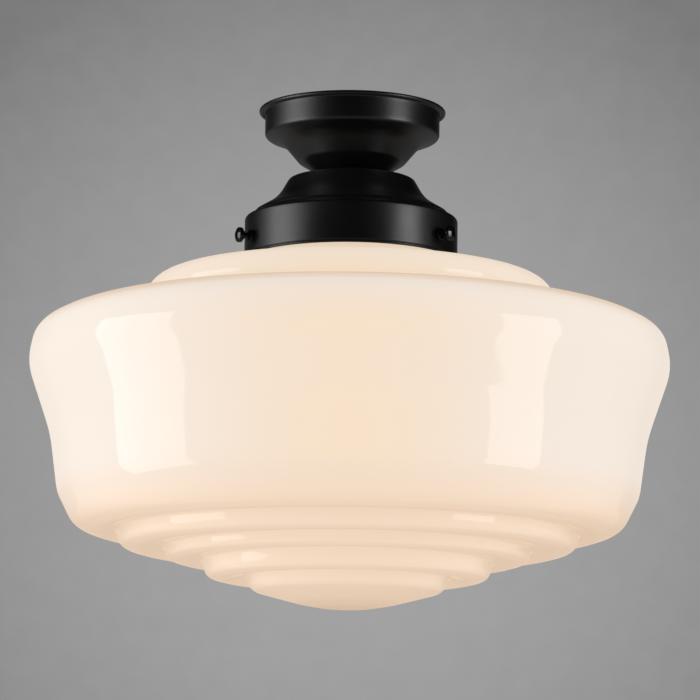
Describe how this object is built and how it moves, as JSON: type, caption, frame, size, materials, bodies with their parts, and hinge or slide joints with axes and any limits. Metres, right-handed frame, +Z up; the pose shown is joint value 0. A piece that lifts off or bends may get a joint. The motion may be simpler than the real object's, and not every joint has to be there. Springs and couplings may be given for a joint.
{
  "type": "semi flush ceiling light",
  "caption": "Semi flush ceiling light: a stepped opal glass schoolhouse shade held by thumbscrews under a round spun black canopy and shade holder, with a screw socket and lamp inside.",
  "frame": {"origin": "the centre of the strap's slots, in the plane of the ceiling", "axes": "+Z up out of the ceiling plane, -Z down along the light, -Y towards the picture's side, +X to its right"},
  "size_m": [0.4553, 0.4554, 0.3707],
  "materials": {
    "black": "satin black",
    "opal": "glossy opal white, dense",
    "zinc": "zinc plated",
    "brass": "bright rolled",
    "porcelain": "glazed",
    "lead_black": "matte",
    "lead_white": "matte",
    "lead_green": "matte",
    "screw_green": "green passivated",
    "connector": "matte orange",
    "lamp_base": "rolled",
    "black_glass": "glossy",
    "solder": "dull",
    "frosted": "frosted inside",
    "clear_glass": "clear",
    "filament": "dark coil"
  },
  "bodies": {
    "fixture": {"canopy": "black", "shade_holder": "black", "screw_bosses": "black", "mounting_strap": "zinc", "nipple": "zinc", "strap_nuts": "zinc", "holder_washer": "zinc", "star_washer": "zinc", "holder_nut": "zinc", "socket_cap": "brass", "set_screw": "zinc", "socket_body": "porcelain", "screw_shell": "brass", "centre_contact": "brass", "terminal_screws": "brass", "live_lead": "lead_black", "neutral_lead": "lead_white", "ground_lead": "lead_green", "ground_screw": "screw_green", "live_connector": "connector", "neutral_connector": "connector", "ground_connector": "connector"},
    "shade": {"shade_crown": "opal", "shade_shoulder": "opal", "shade_body": "opal", "shade_heel": "opal", "shade_bowl": "opal"},
    "screw_left": {"thumbscrew_left": "black"},
    "screw_right": {"thumbscrew_right": "black"},
    "screw_rear": {"thumbscrew_rear": "black"},
    "bulb": {"bulb_base": "lamp_base", "bulb_insulator": "black_glass", "bulb_contact": "solder", "bulb_glass": "frosted", "bulb_stem": "clear_glass", "bulb_wires": "solder", "bulb_filament": "filament"}
  },
  "joints": [
    {"name": "shade_drop", "type": "slide", "parent": "fixture", "child": "shade", "axis": [0, 0, -1], "range_m": [0, 0.025]},
    {"name": "screw_left_out", "type": "slide", "parent": "fixture", "child": "screw_left", "axis": [-0.9135, -0.4067, 0], "range_m": [0, 0.0075]},
    {"name": "screw_right_out", "type": "slide", "parent": "fixture", "child": "screw_right", "axis": [0.809, -0.5878, 0], "range_m": [0, 0.0075]},
    {"name": "screw_rear_out", "type": "slide", "parent": "fixture", "child": "screw_rear", "axis": [0.1045, 0.9945, 0], "range_m": [0, 0.0075]},
    {"name": "bulb_unscrew", "type": "slide", "parent": "fixture", "child": "bulb", "axis": [0, 0, -1], "range_m": [0, 0.028]}
  ],
  "couplings": [
    {"joint": "screw_left_out", "follows": "shade_drop", "ratio": 0.28},
    {"joint": "screw_right_out", "follows": "shade_drop", "ratio": 0.28},
    {"joint": "screw_rear_out", "follows": "shade_drop", "ratio": 0.28}
  ]
}
